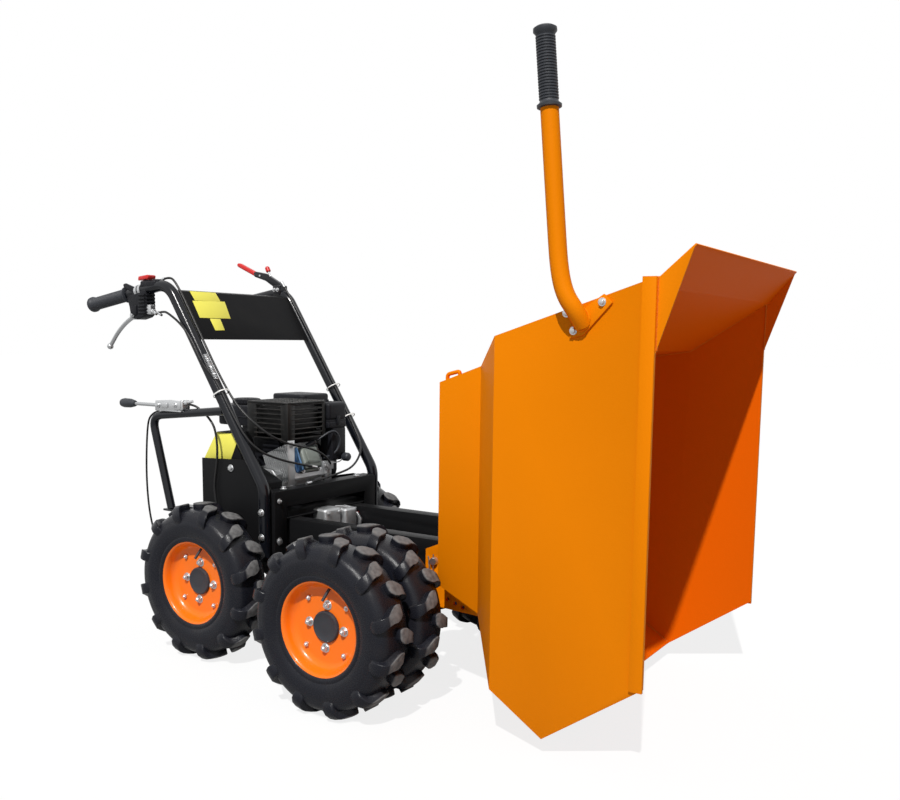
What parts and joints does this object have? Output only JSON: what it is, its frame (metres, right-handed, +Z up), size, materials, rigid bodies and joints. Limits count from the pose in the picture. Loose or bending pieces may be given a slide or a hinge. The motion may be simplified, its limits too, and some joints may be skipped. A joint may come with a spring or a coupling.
{
  "type": "walk-behind mini site dumper",
  "caption": "Walk-behind mini site dumper with twin front wheels, an open engine on a steel platform and a tipping steel skip, standing with the skip tipped forward.",
  "frame": {"origin": "on the ground, below the middle of the machine's overall length and width", "axes": "+X forwards towards the skip, +Y to the machine's left, +Z up"},
  "size_m": [1.804, 0.94, 1.3899],
  "materials": {
    "skip_paint": "satin orange powder coat",
    "rim_paint": "satin orange-red paint",
    "frame_paint": "satin black powder coat",
    "tyre": "moulded tread rubber",
    "rubber": "matt ribbed rubber",
    "engine_plastic": "grained black plastic",
    "cast_aluminium": "bead-blasted casting",
    "guard_paint": "heat-resistant matt black",
    "cover_paint": "satin grey paint",
    "zinc": "bright zinc plate",
    "lever_metal": "polished cast lever",
    "red_plastic": "glossy red moulding",
    "cable_sheath": "smooth black sheath",
    "white_plastic": "white nylon"
  },
  "bodies": {
    "chassis": {"air_filter": "engine_plastic", "belt_guard": "frame_paint", "buffers": "rubber", "cable_ties": "white_plastic", "carburettor": "cast_aluminium", "cheek_left": "frame_paint", "cheek_right": "frame_paint", "clutch_cable": "cable_sheath", "clutch_lever": "lever_metal", "control_housing": "engine_plastic", "crossbar": "frame_paint", "cylinder": "cast_aluminium", "dash_panel": "frame_paint", "dump_cable": "cable_sheath", "dump_release_body": "engine_plastic", "dump_release_lever": "red_plastic", "engine_block": "cast_aluminium", "fan_housing": "engine_plastic", "front_axle": "frame_paint", "front_drive_shaft": "frame_paint", "fuel_cap": "engine_plastic", "fuel_tank": "engine_plastic", "gear_bracket": "frame_paint", "gear_cable": "cable_sheath", "gear_knob": "rubber", "gear_lever": "zinc", "gear_lever_channel": "zinc", "gearbox": "cast_aluminium", "grips": "rubber", "handlebar_left": "frame_paint", "handlebar_right": "frame_paint", "latch_hook": "zinc", "muffler": "guard_paint", "muffler_guard": "guard_paint", "muffler_stay": "zinc", "platform": "frame_paint", "rail_left": "frame_paint", "rail_right": "frame_paint", "rear_axle": "frame_paint", "recoil_starter": "engine_plastic", "stop_switch": "red_plastic", "switch_housing": "engine_plastic", "throttle_cable": "cable_sheath", "valve_cover": "cover_paint"},
    "front_left_wheel": {"front_left_inner_tyre": "tyre", "front_left_rims": "rim_paint", "front_left_tyre": "tyre"},
    "front_right_wheel": {"front_right_inner_tyre": "tyre", "front_right_rims": "rim_paint", "front_right_tyre": "tyre"},
    "rear_left_wheel": {"rear_left_rims": "rim_paint", "rear_left_tyre": "tyre"},
    "rear_right_wheel": {"rear_right_rims": "rim_paint", "rear_right_tyre": "tyre"},
    "skip": {"skip_tub": "skip_paint", "hitch_left": "skip_paint", "hitch_right": "skip_paint", "pivot_pins": "zinc", "dump_handle": "skip_paint", "dump_grip": "rubber"}
  },
  "joints": [
    {"name": "front_left_wheel_turn", "type": "hinge", "parent": "chassis", "child": "front_left_wheel", "pos_m": [0.134, 0, 0.2], "axis": [0, 1, 0], "continuous": true},
    {"name": "front_right_wheel_turn", "type": "hinge", "parent": "chassis", "child": "front_right_wheel", "pos_m": [0.134, 0, 0.2], "axis": [0, 1, 0], "continuous": true},
    {"name": "rear_left_wheel_turn", "type": "hinge", "parent": "chassis", "child": "rear_left_wheel", "pos_m": [-0.383, 0, 0.2], "axis": [0, 1, 0], "continuous": true},
    {"name": "rear_right_wheel_turn", "type": "hinge", "parent": "chassis", "child": "rear_right_wheel", "pos_m": [-0.383, 0, 0.2], "axis": [0, 1, 0], "continuous": true},
    {"name": "skip_tip", "type": "hinge", "parent": "chassis", "child": "skip", "pos_m": [0.231, 0, 0.305], "axis": [0, 1, 0], "range_deg": [-90, 0]}
  ]
}
